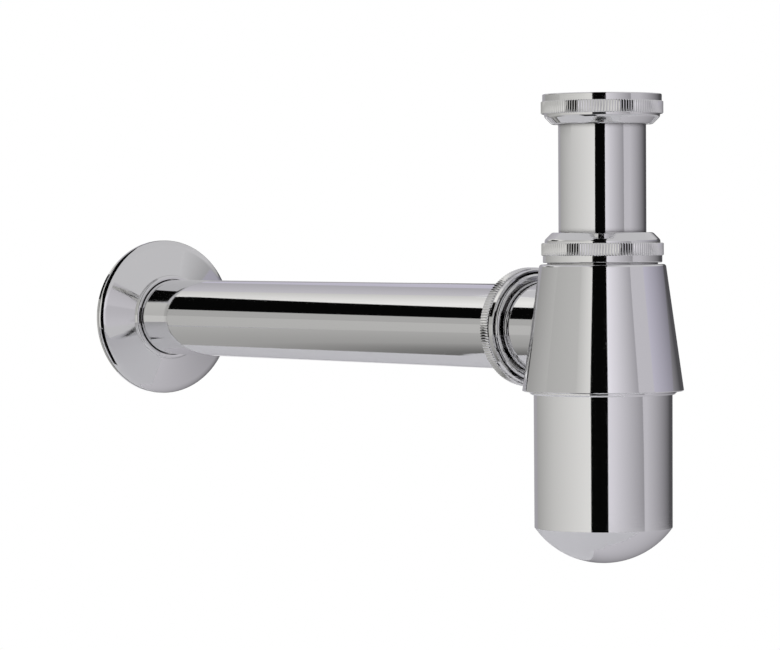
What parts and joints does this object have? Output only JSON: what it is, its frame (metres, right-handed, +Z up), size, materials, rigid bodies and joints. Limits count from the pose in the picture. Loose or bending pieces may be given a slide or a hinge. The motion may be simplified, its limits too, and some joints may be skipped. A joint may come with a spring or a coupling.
{
  "type": "sink trap",
  "caption": "Chromed bottle trap: conical body with a screw-off domed cup, knurled nuts, inlet tube, long outlet tube and wall flange.",
  "frame": {"origin": "centre of the inlet seat, the top face of the inlet gasket, on the bottle's axis", "axes": "+Z up along the bottle and out of the inlet, -X along the outlet tube to the wall"},
  "size_m": [0.3594, 0.066, 0.171],
  "materials": {
    "chrome_body": "polished chrome plate on brass",
    "chrome_tube": "polished chrome plate on drawn brass tube",
    "chrome_nut": "bright chrome plate on knurled brass",
    "chrome_flange": "polished chrome plate on pressed brass sheet",
    "rubber": "moulded black rubber",
    "washer_plastic": "moulded natural polyethylene"
  },
  "bodies": {
    "inlet_tube": {"inlet_tube": "chrome_tube", "inlet_gasket": "rubber"},
    "inlet_nut": {"inlet_nut": "chrome_nut"},
    "tube_seal": {"tube_seal": "rubber"},
    "trap_body": {"trap_body": "chrome_body", "outlet_spigot": "chrome_body", "outlet_seal": "rubber"},
    "tube_slip_washer": {"tube_slip_washer": "washer_plastic"},
    "tube_nut": {"tube_nut": "chrome_nut"},
    "outlet_slip_washer": {"outlet_slip_washer": "washer_plastic"},
    "outlet_nut": {"outlet_nut": "chrome_nut"},
    "outlet_tube": {"outlet_tube": "chrome_tube"},
    "wall_flange": {"wall_flange": "chrome_flange"},
    "cup_seal": {"cup_seal": "rubber"},
    "cup": {"cup": "chrome_body"}
  },
  "joints": [
    {"name": "inlet_nut_turn", "type": "hinge", "parent": "inlet_tube", "child": "inlet_nut", "pos_m": [0, 0, 0], "axis": [0, 0, 1], "continuous": true},
    {"name": "height_adjust", "type": "slide", "parent": "inlet_tube", "child": "tube_seal", "axis": [0, 0, -1], "range_m": [-0.006, 0.03]},
    {"name": "bottle_swivel", "type": "hinge", "parent": "tube_seal", "child": "trap_body", "pos_m": [0, 0, -0.0509], "axis": [0, 0, 1], "continuous": true},
    {"name": "tube_nut_turn", "type": "hinge", "parent": "tube_slip_washer", "child": "tube_nut", "pos_m": [0, 0, -0.0509], "axis": [0, 0, 1], "range_deg": [0, 810]},
    {"name": "tube_nut_lift", "type": "slide", "parent": "trap_body", "child": "tube_slip_washer", "axis": [0, 0, 1], "range_m": [0, 0.0052]},
    {"name": "outlet_nut_turn", "type": "hinge", "parent": "outlet_slip_washer", "child": "outlet_nut", "pos_m": [-0.0441, 0, -0.0802], "axis": [-1, 0, 0], "range_deg": [0, 810]},
    {"name": "outlet_nut_travel", "type": "slide", "parent": "trap_body", "child": "outlet_slip_washer", "axis": [-1, 0, 0], "range_m": [0, 0.0052]},
    {"name": "outlet_reach", "type": "slide", "parent": "trap_body", "child": "outlet_tube", "axis": [-1, 0, 0], "range_m": [-0.009, 0.01]},
    {"name": "flange_slide", "type": "slide", "parent": "outlet_tube", "child": "wall_flange", "axis": [1, 0, 0], "range_m": [-0.012, 0.24]},
    {"name": "cup_turn", "type": "hinge", "parent": "cup_seal", "child": "cup", "pos_m": [0, 0, -0.1029], "axis": [0, 0, -1], "range_deg": [0, 1440]},
    {"name": "cup_drop", "type": "slide", "parent": "trap_body", "child": "cup_seal", "axis": [0, 0, -1], "range_m": [0, 0.00924]}
  ],
  "couplings": [
    {"joint": "tube_nut_lift", "follows": "tube_nut_turn", "m_per_rad": 0.00036749},
    {"joint": "outlet_nut_travel", "follows": "outlet_nut_turn", "m_per_rad": 0.00036749},
    {"joint": "cup_drop", "follows": "cup_turn", "m_per_rad": 0.00036749}
  ]
}
